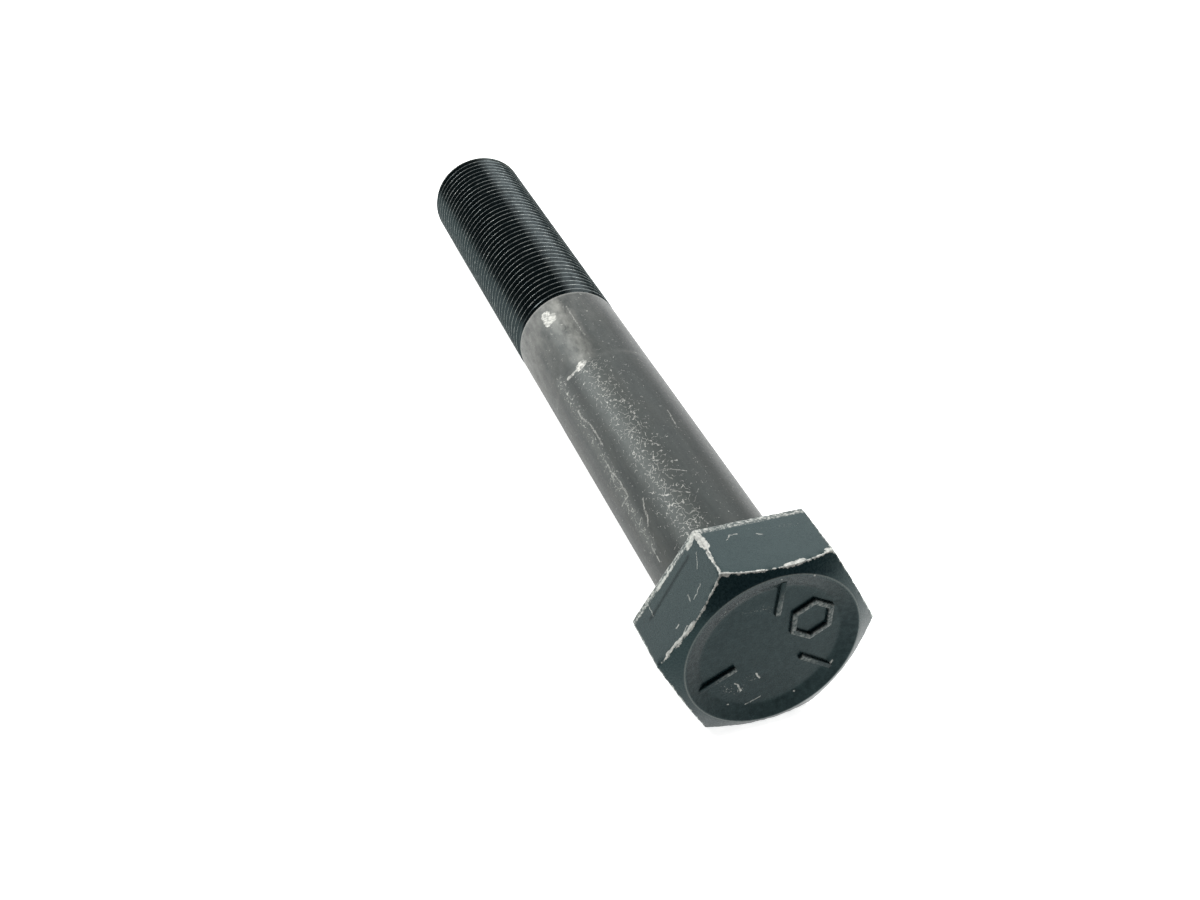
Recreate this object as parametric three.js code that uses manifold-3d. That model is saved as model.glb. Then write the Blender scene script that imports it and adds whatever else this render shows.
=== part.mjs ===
// Hex cap screw, 7/8-14 UNF x 6 1/4 inch, forged and thread-rolled in one piece.
// Millimetres, +Z up. The bolt lies on one flat of its head, and its axis runs along +Y from head to tip.
import * as THREE from 'three';
import { mergeVertices } from 'three/addons/utils/BufferGeometryUtils.js';
import Module from 'manifold-3d';

const wasm = await Module();
wasm.setup();

const INCH = 25.4;
const DEGREE = Math.PI / 180;

// Head
const ACROSS_FLATS = 33.0;
const HEAD_HEIGHT = 13.9;               // from the rim to the bearing face
const CHAMFER_ANGLE = 30 * DEGREE;      // of the cone that cuts the corners, from the end plane
const CHAMFER_RIM_INSET = 1.3;          // from the flats to where that cone meets the end plane
const WASHER_FACE_INSET = 1.0;          // from the flats to the edge of the washer face
const WASHER_FACE_HEIGHT = 0.5;

// Dished end, inside the rim
const RIM_WIDTH = 0.25;                 // flat land between the cone and the dish
const DISH_SLOPE_WIDTH = 2.75;
const DISH_DEPTH = 1.05;

// Raised marks on the dish floor
const MARK_RISE = 0.6;
const GRADE_BAR_COUNT = 3;
const GRADE_BAR_ANGLE = 33 * DEGREE;    // of the first bar
const GRADE_BAR_LENGTH = 7.0;
const GRADE_BAR_WIDTH = 0.7;
const GRADE_BAR_RIM_GAP = 1.35;         // from a bar's outer end to the rim
const HEX_MARK_ANGLE = -32 * DEGREE;
const HEX_MARK_ACROSS_FLATS = 7.2;
const HEX_MARK_LINE = 0.9;
const HEX_MARK_EDGE_GAP = 0.2;          // from the mark's outer corner circle to the dish's slope

// Shank and thread, right-handed
const NOMINAL_DIAMETER = (7 / 8) * INCH;
const LENGTH = 6.25 * INCH;             // under the head
const SHANK_ALLOWANCE = 0.11;           // the shank's radius is this much under nominal
const THREAD_ALLOWANCE = 0.03;          // the crests' radius is this much under nominal
const FILLET_RADIUS = 1.2;              // under the head
const THREAD_LENGTH = 72.0;             // from the tip to the first groove
const PITCH = INCH / 14;
const CREST_SHARE = 0.125;              // of the pitch
const FLANK_SHARE = 0.3542;             // of the pitch, each side of the crest
const DEPTH_SHARE = 0.6134;             // of the pitch, from crest to root
const RUN_OUT_TURNS = 1.5;
const CREST_PHASE = 1.342;              // height of a crest above the bearing face, towards +X
const TIP_CHAMFER_BELOW_ROOT = 0.13;    // how far the tip's chamfer cuts past the root
const STEPS_PER_TURN = 24;

// Sizes that follow from those above
const CHAMFER_RIM_RADIUS = ACROSS_FLATS / 2 - CHAMFER_RIM_INSET;
const WASHER_FACE_RADIUS = ACROSS_FLATS / 2 - WASHER_FACE_INSET;
const DISH_RADIUS = CHAMFER_RIM_RADIUS - RIM_WIDTH;
const DISH_FLOOR_RADIUS = DISH_RADIUS - DISH_SLOPE_WIDTH;
const DISH_FLOOR = DISH_DEPTH - HEAD_HEIGHT;
const SHANK_RADIUS = NOMINAL_DIAMETER / 2 - SHANK_ALLOWANCE;
const THREAD_RADIUS = NOMINAL_DIAMETER / 2 - THREAD_ALLOWANCE;
const ROOT_RADIUS = THREAD_RADIUS - DEPTH_SHARE * PITCH;
const THREAD_START = LENGTH - THREAD_LENGTH;
const RUN_OUT_END = THREAD_START + RUN_OUT_TURNS * PITCH;
const TIP_RADIUS = ROOT_RADIUS - TIP_CHAMFER_BELOW_ROOT;

const ROUND_STEPS = 48;
const FILLET_STEPS = 4;
const OVERLAP = 2.0;                    // how far joined solids reach into each other

function solidFrom(geometry) {
  geometry.deleteAttribute('normal');
  geometry.deleteAttribute('uv');
  const merged = mergeVertices(geometry, 1e-4);
  const mesh = new wasm.Mesh({
    numProp: 3,
    vertProperties: new Float32Array(merged.attributes.position.array),
    triVerts: new Uint32Array(merged.index.array),
  });
  return new wasm.Manifold(mesh);
}

function geometryFrom(solid) {
  const mesh = solid.getMesh();
  const geometry = new THREE.BufferGeometry();
  geometry.setAttribute('position', new THREE.BufferAttribute(mesh.vertProperties, 3));
  geometry.setIndex(new THREE.BufferAttribute(mesh.triVerts, 1));
  geometry.computeVertexNormals();
  return geometry;
}

// A solid of revolution about Z. The profile is a list of [radius, z], from low z to high z.
function turned(profile) {
  const points = profile.map(([radius, z]) => new THREE.Vector2(radius, z));
  const geometry = new THREE.LatheGeometry(points, ROUND_STEPS);
  geometry.rotateX(Math.PI / 2);
  return solidFrom(geometry);
}

function prism(shape, low, high) {
  const geometry = new THREE.ExtrudeGeometry(shape, { depth: high - low, bevelEnabled: false });
  geometry.translate(0, 0, low);
  return solidFrom(geometry);
}

// A hexagon with corners towards +X and -X.
function hexagon(acrossFlats, centre = new THREE.Vector2()) {
  const cornerRadius = acrossFlats / Math.sqrt(3);
  const corners = [];
  for (let i = 0; i < 6; i += 1) {
    const angle = i * 60 * DEGREE;
    const corner = new THREE.Vector2(Math.cos(angle), Math.sin(angle));
    corners.push(corner.multiplyScalar(cornerRadius).add(centre));
  }
  return new THREE.Shape(corners);
}

// Head: the rim is at z = -HEAD_HEIGHT and the bearing face at z = 0.
function hexHead() {
  const cornerRadius = ACROSS_FLATS / Math.sqrt(3) + OVERLAP;
  const coneHeight = (cornerRadius - CHAMFER_RIM_RADIUS) * Math.tan(CHAMFER_ANGLE);
  const block = prism(hexagon(ACROSS_FLATS), -HEAD_HEIGHT, -WASHER_FACE_HEIGHT);
  const chamferedRound = turned([
    [0, -HEAD_HEIGHT],
    [CHAMFER_RIM_RADIUS, -HEAD_HEIGHT],
    [cornerRadius, -HEAD_HEIGHT + coneHeight],
    [cornerRadius, 0],
    [0, 0],
  ]);
  return block.intersect(chamferedRound);
}

function dish() {
  return turned([
    [0, -HEAD_HEIGHT - OVERLAP],
    [DISH_RADIUS, -HEAD_HEIGHT - OVERLAP],
    [DISH_RADIUS, -HEAD_HEIGHT],
    [DISH_FLOOR_RADIUS, DISH_FLOOR],
    [0, DISH_FLOOR],
  ]);
}

function gradeBar(index) {
  const angle = GRADE_BAR_ANGLE + (index * 2 * Math.PI) / GRADE_BAR_COUNT;
  const height = MARK_RISE + OVERLAP;
  const middle = DISH_RADIUS - GRADE_BAR_RIM_GAP - GRADE_BAR_LENGTH / 2;
  const geometry = new THREE.BoxGeometry(GRADE_BAR_LENGTH, GRADE_BAR_WIDTH, height);
  geometry.translate(middle, 0, DISH_FLOOR - MARK_RISE + height / 2);
  geometry.rotateZ(angle);
  return solidFrom(geometry);
}

function hexMark() {
  const cornerRadius = HEX_MARK_ACROSS_FLATS / Math.sqrt(3);
  const centre = new THREE.Vector2(Math.cos(HEX_MARK_ANGLE), Math.sin(HEX_MARK_ANGLE));
  centre.multiplyScalar(DISH_FLOOR_RADIUS - HEX_MARK_EDGE_GAP - cornerRadius);
  const shape = hexagon(HEX_MARK_ACROSS_FLATS, centre);
  shape.holes.push(hexagon(HEX_MARK_ACROSS_FLATS - 2 * HEX_MARK_LINE, centre));
  return prism(shape, DISH_FLOOR - MARK_RISE, DISH_FLOOR + OVERLAP);
}

function washerFace() {
  return turned([
    [0, -WASHER_FACE_HEIGHT - OVERLAP],
    [WASHER_FACE_RADIUS, -WASHER_FACE_HEIGHT - OVERLAP],
    [WASHER_FACE_RADIUS, 0],
    [0, 0],
  ]);
}

// Shank with its fillet under the head, and the cone that fades out the thread's first grooves.
function shank() {
  const profile = [[0, -OVERLAP], [SHANK_RADIUS + FILLET_RADIUS, -OVERLAP]];
  for (let i = 0; i <= FILLET_STEPS; i += 1) {
    const angle = (i / FILLET_STEPS) * (Math.PI / 2);
    const radius = SHANK_RADIUS + FILLET_RADIUS * (1 - Math.sin(angle));
    profile.push([radius, FILLET_RADIUS * (1 - Math.cos(angle))]);
  }
  profile.push([SHANK_RADIUS, THREAD_START], [ROOT_RADIUS, RUN_OUT_END], [0, RUN_OUT_END]);
  return turned(profile);
}

// A rod with a helical thread. Its rows of points follow the helix: four rows to a pitch, at the two
// ends of the crest and the two ends of the root. The last step of a turn joins the row one pitch on.
function threadedRod(low, high) {
  const rows = [
    { offset: -CREST_SHARE / 2, radius: THREAD_RADIUS },
    { offset: CREST_SHARE / 2, radius: THREAD_RADIUS },
    { offset: CREST_SHARE / 2 + FLANK_SHARE, radius: ROOT_RADIUS },
    { offset: 1 - CREST_SHARE / 2 - FLANK_SHARE, radius: ROOT_RADIUS },
  ];
  const firstTurn = Math.floor((low - CREST_PHASE) / PITCH) - 1;
  const turns = Math.ceil((high - low) / PITCH) + 2;
  const rowCount = rows.length * turns;
  const positions = [];

  function addPoint(row, step) {
    const { offset, radius } = rows[row % rows.length];
    const turn = firstTurn + Math.floor(row / rows.length) + step / STEPS_PER_TURN;
    const angle = (step / STEPS_PER_TURN) * 2 * Math.PI;
    positions.push(radius * Math.cos(angle), radius * Math.sin(angle), CREST_PHASE + PITCH * (turn + offset));
  }
  for (let step = 0; step < STEPS_PER_TURN; step += 1) {
    const extraRows = step === 0 ? rows.length : 0;
    for (let row = 0; row < rowCount + extraRows; row += 1) addPoint(row, step);
  }
  const columnStart = (step) => (step === 0 ? 0 : step * rowCount + rows.length);
  const point = (row, step) => (
    step === STEPS_PER_TURN ? row + rows.length : columnStart(step) + row
  );

  const triangles = [];
  for (let step = 0; step < STEPS_PER_TURN; step += 1) {
    for (let row = 0; row < rowCount - 1; row += 1) {
      const [a, b] = [point(row, step), point(row, step + 1)];
      const [c, d] = [point(row + 1, step + 1), point(row + 1, step)];
      triangles.push(a, b, c, a, c, d);
    }
  }

  // The open ends: once round the helix, then back along the axis to the start.
  function endLoop(row) {
    const loop = [];
    for (let step = 0; step < STEPS_PER_TURN; step += 1) loop.push(point(row, step));
    for (let back = rows.length; back > 0; back -= 1) loop.push(point(row + back, 0));
    return loop;
  }
  const middle = (loop) => loop.reduce((sum, index) => sum + positions[3 * index + 2], 0) / loop.length;
  function closeEnd(loop, outward) {
    const centre = positions.length / 3;
    positions.push(0, 0, middle(loop));
    loop.forEach((current, i) => {
      const next = loop[(i + 1) % loop.length];
      if (outward) triangles.push(centre, current, next);
      else triangles.push(centre, next, current);
    });
  }
  closeEnd(endLoop(0), false);
  closeEnd(endLoop(rowCount - 1), true);

  const geometry = new THREE.BufferGeometry();
  geometry.setAttribute('position', new THREE.Float32BufferAttribute(positions, 3));
  geometry.setIndex(triangles);
  return solidFrom(geometry);
}

function thread() {
  const rod = threadedRod(THREAD_START - OVERLAP, LENGTH + OVERLAP);
  const blank = turned([
    [0, THREAD_START],
    [THREAD_RADIUS, THREAD_START],
    [THREAD_RADIUS, LENGTH - (THREAD_RADIUS - TIP_RADIUS)],
    [TIP_RADIUS, LENGTH],
    [0, LENGTH],
  ]);
  return rod.intersect(blank);
}

function hexBolt() {
  let solid = hexHead().subtract(dish()).add(hexMark());
  for (let i = 0; i < GRADE_BAR_COUNT; i += 1) solid = solid.add(gradeBar(i));
  return solid.add(washerFace()).add(shank()).add(thread());
}

const blackOxideSteel = new THREE.MeshStandardMaterial({ color: 0x3d4747, roughness: 0.45, metalness: 0.9 });

const bolt = new THREE.Mesh(geometryFrom(hexBolt()), blackOxideSteel);
bolt.name = 'hex_bolt';

// The bolt's own axis is turned from Z to +Y. The origin is under the middle of the bolt, on its lowest flat.
const part = new THREE.Group();
part.add(bolt);
part.rotation.x = -Math.PI / 2;
part.position.set(0, (HEAD_HEIGHT - LENGTH) / 2, ACROSS_FLATS / 2);

export default part;
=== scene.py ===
import math

import bmesh
import bpy
import numpy as np
from mathutils import Matrix, Vector, noise


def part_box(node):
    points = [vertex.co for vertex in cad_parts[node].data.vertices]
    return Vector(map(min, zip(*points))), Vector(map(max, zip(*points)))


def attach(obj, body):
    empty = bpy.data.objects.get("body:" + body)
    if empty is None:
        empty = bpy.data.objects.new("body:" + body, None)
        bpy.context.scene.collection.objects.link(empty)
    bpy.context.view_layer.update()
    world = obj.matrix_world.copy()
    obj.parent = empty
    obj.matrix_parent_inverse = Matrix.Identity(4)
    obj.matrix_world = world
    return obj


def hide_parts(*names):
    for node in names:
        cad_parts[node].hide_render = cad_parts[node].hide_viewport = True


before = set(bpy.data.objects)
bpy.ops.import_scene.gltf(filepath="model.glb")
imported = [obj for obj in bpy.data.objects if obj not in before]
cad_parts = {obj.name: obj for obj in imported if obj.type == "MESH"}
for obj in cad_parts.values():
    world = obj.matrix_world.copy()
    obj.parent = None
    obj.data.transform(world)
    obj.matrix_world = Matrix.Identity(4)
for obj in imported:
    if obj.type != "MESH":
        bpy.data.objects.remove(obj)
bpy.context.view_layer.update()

# The bolt is built in millimetres along its own axis: z = 0 is the bearing face under the head, the head
# is below it and the thread tip above. PLACE then lays it along +Y in the frame, in metres.
MM = 0.001
BOLT_LOW, BOLT_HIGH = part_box("hex_bolt")
ACROSS_FLATS = (BOLT_HIGH.z - BOLT_LOW.z) / MM
HEAD_HEIGHT = 13.9
LENGTH = (BOLT_HIGH.y - BOLT_LOW.y) / MM - HEAD_HEIGHT
PLACE = (
    Matrix.Translation((0, BOLT_LOW.y + HEAD_HEIGHT * MM, BOLT_LOW.z + ACROSS_FLATS * MM / 2))
    @ Matrix.Rotation(-math.pi / 2, 4, "X")
    @ Matrix.Scale(MM, 4)
)

# Head
HALF_SIDE_ANGLE = math.pi / 6
APOTHEM = ACROSS_FLATS / 2
HEAD_END = -HEAD_HEIGHT
CORNER_ROUND = 0.55             # of the six long corners
CORNER_CROWDING = 0.115         # how much closer together the mesh's columns are at the corners
CHAMFER_SLOPE = math.tan(math.radians(30))
RIM_RADIUS = APOTHEM - 1.3
RIM_WIDTH = 0.25
DISH_RADIUS = RIM_RADIUS - RIM_WIDTH
DISH_SLOPE_WIDTH = 2.75
DISH_FLOOR_RADIUS = DISH_RADIUS - DISH_SLOPE_WIDTH
DISH_DEPTH = 1.05
EDGE_ROUND = 0.22               # between the chamfer cone and the flats
EDGE_TURN = math.radians(60)    # from that cone to the flats
EDGE_REACH = EDGE_ROUND * math.tan(EDGE_TURN / 2)
EDGE_STEPS = 5
HEX_BACK = -0.5                 # the hexagon's back plane, behind the washer face
WASHER_RADIUS = APOTHEM - 1.0
TRIM_BAND = 0.95                # height of the rough band that the trimming die leaves
TRIM_STEP = 0.09

# Raised marks
MARK_RISE = 0.6
MARK_SINK = 0.5                 # how far each mark reaches into the dish's floor
BAR_COUNT = 3
BAR_ANGLE = math.radians(33)
BAR_LENGTH = 7.0
BAR_WIDTH = 0.95
BAR_RIM_GAP = 1.35
BAR_EDGE_ROUND = 0.22
HEX_MARK_ANGLE = math.radians(-32)
HEX_MARK_ACROSS_FLATS = 7.2
HEX_MARK_LINE = 0.9
HEX_MARK_EDGE_GAP = 0.2
HEX_MARK_EDGE_ROUND = 0.2

# Shank and thread
SHANK_RADIUS = 11.0
SHANK_STEP = 0.03               # the shank is this much thinner near the thread
SHANK_STEP_HEIGHT = 60.5
FILLET_RADIUS = 1.2
FILLET_STEPS = 6
PITCH = 25.4 / 14
CREST_RADIUS = 11.08
THREAD_DEPTH = 0.6134 * PITCH
ROOT_RADIUS = CREST_RADIUS - THREAD_DEPTH
THREAD_START = LENGTH - 72.0
RUN_OUT_END = THREAD_START + 1.5 * PITCH
CREST_PHASE = 1.342             # height of a crest over the bearing face, less whole pitches
TIP_RADIUS = ROOT_RADIUS - 0.13
THREAD_STEPS = 72               # to a turn
BLANK_STEPS = 144
HEAD_STEPS = 384                # round the head and shank

# Dents along the head's worn edges
NICK_REACH = 0.75
NICK_DEPTH = 0.22
NICK_SEED = Vector((3.1, 7.7, 1.9))
FAR_GAP = 9.0                   # distance written where an edge is too far off to matter

MERGED = 1e-4                   # points closer than this are one
SHARP_ANGLE = math.radians(38)

# Setting, in metres
FLOOR_GLOW = 0.85
FLOOR_REACH = 12.0              # from the bolt to the floor's edges
ROOM_GLOW = 0.85
FLAG_RADIUS = 0.45
FLAG_HEIGHT = 0.7
FLAG_REACH = 0.05
CAMERA_PLACE = Vector((-85.987, -232.296, 172.097)) * MM
CAMERA_TARGET = Vector((-10.56, -33.79, 22.08)) * MM
CAMERA_ROLL = math.radians(1.953)
CAMERA_LENS = 42.88             # mm, on a 36 mm wide sensor
# name, place, what it points at, width and height, watts
SOFTBOXES = (
    ("overhead_softbox", (0.5, 0.05, 0.7), (0, 0, 0), (0.35, 0.5), 4),
    ("far_left_softbox", (-0.55, 0.9, 0.55), (0, 0, 0), (0.5, 0.35), 5),
    ("far_softbox", (0.4, 0.85, 0.75), (0, 0, 0), (0.8, 0.6), 3.2),
    ("low_left_softbox", (-0.75, 0.9, 0.1), (0, 0, 0.02), (0.8, 0.14), 0.8),
)


def srgb(code):
    """The linear RGBA of an sRGB hex value such as 0x3c4b4b."""
    parts = [(code >> shift & 255) / 255 for shift in (16, 8, 0)]
    linear = [p / 12.92 if p <= 0.04045 else ((p + 0.055) / 1.055) ** 2.4 for p in parts]
    return (*linear, 1.0)


# ---------------------------------------------------------------- head and shank


def outline(angle, inset=0.0):
    """Radius of the hexagon with rounded corners, at an angle round the axis. Corners are at 0, 60, ..."""
    apothem = APOTHEM - inset
    round_radius = max(CORNER_ROUND - inset, 0.05)
    from_corner = abs((angle + HALF_SIDE_ANGLE) % (2 * HALF_SIDE_ANGLE) - HALF_SIDE_ANGLE)
    from_flat = HALF_SIDE_ANGLE - from_corner
    straight = math.atan((apothem - round_radius) * math.tan(HALF_SIDE_ANGLE) / apothem)
    if from_flat <= straight:
        return apothem / math.cos(from_flat)
    centre = (apothem - round_radius) / math.cos(HALF_SIDE_ANGLE)
    across = centre * math.sin(from_corner)
    return centre * math.cos(from_corner) + math.sqrt(round_radius**2 - across**2)


def crowded(angle):
    """Moves evenly spaced angles closer together at the hexagon's corners."""
    return angle - CORNER_CROWDING * math.sin(6 * angle)


# A station is a function of the angle round the axis that gives a radius and a height. The head and shank
# are drawn through a row of them, from the dish's floor to the thread.


def ring(radius, height):
    return lambda angle: (radius, height)


def cone_height(radius):
    """Height of the chamfer cone at a radius."""
    return HEAD_END + (radius - RIM_RADIUS) * CHAMFER_SLOPE


def dish_stations():
    """The dish's floor, its slope and the rim round it."""
    floor = HEAD_END + DISH_DEPTH
    slope = DISH_DEPTH / DISH_SLOPE_WIDTH
    rings = [ring(radius, floor) for radius in (4.0, 7.0, 9.5, 11.2, DISH_FLOOR_RADIUS - 0.35)]
    rings.append(ring(DISH_FLOOR_RADIUS - 0.1, floor - 0.015))
    rings.append(ring(DISH_FLOOR_RADIUS + 0.15, floor - 0.045))
    rings.append(ring(DISH_FLOOR_RADIUS + 0.45, floor - 0.45 * slope))
    for share in (0.45, 0.7, 0.88):
        rings.append(ring(DISH_FLOOR_RADIUS + share * DISH_SLOPE_WIDTH, floor - share * DISH_DEPTH))
    rings.append(ring(DISH_RADIUS - 0.08, HEAD_END + 0.035))
    rings.append(ring(DISH_RADIUS + 0.03, HEAD_END + 0.006))
    rings.append(ring(DISH_RADIUS + 0.11, HEAD_END))
    rings.append(ring(RIM_RADIUS - 0.07, HEAD_END + 0.006))
    rings.append(ring(RIM_RADIUS + 0.04, HEAD_END + 0.04))
    return rings


def chamfer_station(share):
    """On the chamfer cone, from its rim at 0 to just inside the hexagon's edge at 1."""
    inner = RIM_RADIUS + 0.15

    def station(angle):
        outer = outline(angle) - EDGE_ROUND * 1.6
        radius = inner + share * (outer - inner)
        return radius, cone_height(radius)

    return station


def edge_station(share):
    """On the rounded edge between the chamfer cone and a flat."""
    swing = EDGE_TURN * (1 - share)

    def station(angle):
        edge = outline(angle)
        height = cone_height(edge) + EDGE_REACH - EDGE_ROUND * math.sin(swing)
        return edge - EDGE_ROUND + EDGE_ROUND * math.cos(swing), height

    return station


def flat_station(share):
    """On a flat, from the rounded edge at 0 to the trimmed band at 1."""

    def station(angle):
        top = cone_height(outline(angle)) + EDGE_REACH + 0.05
        return outline(angle), top + share * (HEX_BACK - TRIM_BAND - top)

    return station


def trimmed_station(inset, height):
    return lambda angle: (outline(angle, inset), height)


def back_stations():
    """The trimmed band, the hexagon's back and the washer face."""
    band_top = HEX_BACK - TRIM_BAND
    insets = [(0.0, band_top), (TRIM_STEP * 0.5, band_top + 0.06), (TRIM_STEP, band_top + 0.14)]
    insets += [(TRIM_STEP, band_top + share * TRIM_BAND) for share in (0.3, 0.5, 0.7)]
    insets += [(TRIM_STEP, HEX_BACK - 0.2), (TRIM_STEP + 0.05, HEX_BACK - 0.09)]
    insets += [(TRIM_STEP + 0.14, HEX_BACK - 0.02), (TRIM_STEP + 0.28, HEX_BACK)]
    insets.append((TRIM_STEP + 0.5, HEX_BACK))
    rings = [trimmed_station(inset, height) for inset, height in insets]
    rings.append(ring(WASHER_RADIUS + 0.12, HEX_BACK))
    rings.append(ring(WASHER_RADIUS, HEX_BACK + 0.08))
    rings.append(ring(WASHER_RADIUS - 0.01, -0.1))
    rings.append(ring(WASHER_RADIUS - 0.1, 0.0))
    return rings


def head_stations():
    chamfer = [chamfer_station(share) for share in (0.0, 0.25, 0.5, 0.72, 0.87, 0.96)]
    edge = [edge_station(step / EDGE_STEPS) for step in range(EDGE_STEPS + 1)]
    shares = (0.0, 0.02, 0.05, 0.1, 0.18, 0.3, 0.45, 0.6, 0.75, 0.87, 0.95, 0.985)
    flats = [flat_station(share) for share in shares]
    return dish_stations() + chamfer + edge + flats + back_stations()


def shank_stations():
    """The bearing face, the fillet, the shank and the cone where the thread runs out."""
    fillet_end = SHANK_RADIUS + FILLET_RADIUS
    rings = [ring(fillet_end + 0.8, 0.0), ring(fillet_end, 0.0)]
    for step in range(1, FILLET_STEPS + 1):
        swing = step / FILLET_STEPS * math.pi / 2
        radius = SHANK_RADIUS + FILLET_RADIUS * (1 - math.sin(swing))
        rings.append(ring(radius, FILLET_RADIUS * (1 - math.cos(swing))))
    for height in (6.0, 20.0, 35.0, 50.0, SHANK_STEP_HEIGHT):
        rings.append(ring(SHANK_RADIUS, height))
    for height in (SHANK_STEP_HEIGHT + 0.8, 75.0, THREAD_START - 0.25):
        rings.append(ring(SHANK_RADIUS - SHANK_STEP, height))
    rings.append(ring(SHANK_RADIUS - 0.06, THREAD_START - 0.1))
    rings.append(ring(SHANK_RADIUS - 0.14, THREAD_START))
    rings.append(ring(ROOT_RADIUS, RUN_OUT_END))
    return rings


def ring_body(stations, steps):
    """A closed body of rings round the axis, each drawn out of the last one."""
    bm = bmesh.new()
    bmesh.ops.create_circle(bm, cap_ends=True, cap_tris=True, segments=steps, radius=1.0)
    radius, height = stations[0](0.0)
    rim = [e for e in bm.edges if e.is_boundary]
    for v in bm.verts:
        if v.co.length < 0.5:
            v.co = (0, 0, height)
    for v in {v for e in rim for v in e.verts}:
        angle = crowded(math.atan2(v.co.y, v.co.x))
        v.co = (radius * math.cos(angle), radius * math.sin(angle), height)
    for station in stations[1:]:
        drawn = bmesh.ops.extrude_edge_only(bm, edges=rim)["geom"]
        rim = [e for e in drawn if isinstance(e, bmesh.types.BMEdge) and e.is_boundary]
        for v in (g for g in drawn if isinstance(g, bmesh.types.BMVert)):
            angle = math.atan2(v.co.y, v.co.x)
            radius, height = station(angle)
            v.co = (radius * math.cos(angle), radius * math.sin(angle), height)
    closed(bm, rim)
    bmesh.ops.recalc_face_normals(bm, faces=bm.faces)
    return bm


def closed(bm, rim):
    """Closes an open end with a fan of faces to the middle of its rim."""
    drawn = bmesh.ops.extrude_edge_only(bm, edges=rim)["geom"]
    last = [g for g in drawn if isinstance(g, bmesh.types.BMVert)]
    height = sum(v.co.z for v in last) / len(last)
    bmesh.ops.pointmerge(bm, verts=last, merge_co=(0, 0, height))


# ---------------------------------------------------------------- thread


def turned(profile, steps):
    """A closed body of revolution. The profile is (radius, height) points that start and end on the axis."""
    bm = bmesh.new()
    verts = [bm.verts.new((radius, 0, height)) for radius, height in profile]
    edges = [bm.edges.new(pair) for pair in zip(verts, verts[1:])]
    bmesh.ops.spin(
        bm,
        geom=verts + edges,
        cent=(0, 0, 0),
        axis=(0, 0, 1),
        angle=math.tau,
        steps=steps,
        use_merge=True,
    )
    bmesh.ops.remove_doubles(bm, verts=bm.verts, dist=MERGED)
    bmesh.ops.recalc_face_normals(bm, faces=bm.faces)
    return bm


def thread_profile():
    """One pitch of the thread's section, from the middle of one root to the middle of the next."""
    flank = 0.3542 * PITCH
    crest = 0.125 * PITCH
    half = [
        (ROOT_RADIUS, PITCH / 2),
        (ROOT_RADIUS + 0.025, PITCH / 2 - 0.1),
        (ROOT_RADIUS + 0.12, crest / 2 + flank - 0.05),
        (CREST_RADIUS - 0.2, crest / 2 + 0.11),
        (CREST_RADIUS - 0.09, crest / 2 + 0.03),
        (CREST_RADIUS - 0.025, crest / 2 - 0.03),
    ]
    low_side = [(radius, -height) for radius, height in half]
    return low_side + [(CREST_RADIUS, 0.0)] + half[::-1]


def threaded_rod():
    """A closed rod with a right-handed helical thread, a pitch longer than the bolt's at each end."""
    bm = bmesh.new()
    first = math.floor((THREAD_START - CREST_PHASE) / PITCH) - 2
    turns = math.ceil((LENGTH - THREAD_START) / PITCH) + 4
    base = CREST_PHASE + first * PITCH
    verts = [bm.verts.new((radius, 0, base + height)) for radius, height in thread_profile()]
    edges = [bm.edges.new(pair) for pair in zip(verts, verts[1:])]
    bmesh.ops.spin(
        bm,
        geom=verts + edges,
        cent=(0, 0, 0),
        axis=(0, 0, 1),
        dvec=(0, 0, PITCH / THREAD_STEPS),
        angle=math.tau,
        steps=THREAD_STEPS,
        use_merge=False,
    )
    one_turn = bm.verts[:] + bm.edges[:] + bm.faces[:]
    for turn in range(1, turns):
        copy = bmesh.ops.duplicate(bm, geom=one_turn)["geom"]
        moved = [g for g in copy if isinstance(g, bmesh.types.BMVert)]
        bmesh.ops.translate(bm, verts=moved, vec=(0, 0, turn * PITCH))
    bmesh.ops.remove_doubles(bm, verts=bm.verts, dist=0.004)
    middle = base + turns * PITCH / 2
    for low in (True, False):
        closed(bm, [e for e in bm.edges if e.is_boundary and (e.verts[0].co.z < middle) == low])
    bmesh.ops.recalc_face_normals(bm, faces=bm.faces)
    return bm


def thread_blank():
    """What the rod is cut to: the crests grow out of the shank, and the tip has a 45 degree chamfer."""
    clear = CREST_RADIUS + 0.6
    return turned(
        [
            (0, THREAD_START + 0.2),
            (SHANK_RADIUS - 0.6, THREAD_START + 0.2),
            (CREST_RADIUS - 0.06, THREAD_START + 0.9),
            (clear, THREAD_START + 9.0),
            (clear, LENGTH - (clear - TIP_RADIUS)),
            (TIP_RADIUS + 0.1, LENGTH - 0.1),
            (TIP_RADIUS - 0.08, LENGTH),
            (0, LENGTH),
        ],
        BLANK_STEPS,
    )


# ---------------------------------------------------------------- raised marks


def rounded(bm, edges, radius):
    bmesh.ops.bevel(
        bm,
        geom=edges,
        offset=radius,
        segments=4,
        profile=0.5,
        affect="EDGES",
        material=-1,
        clamp_overlap=True,
    )


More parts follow.
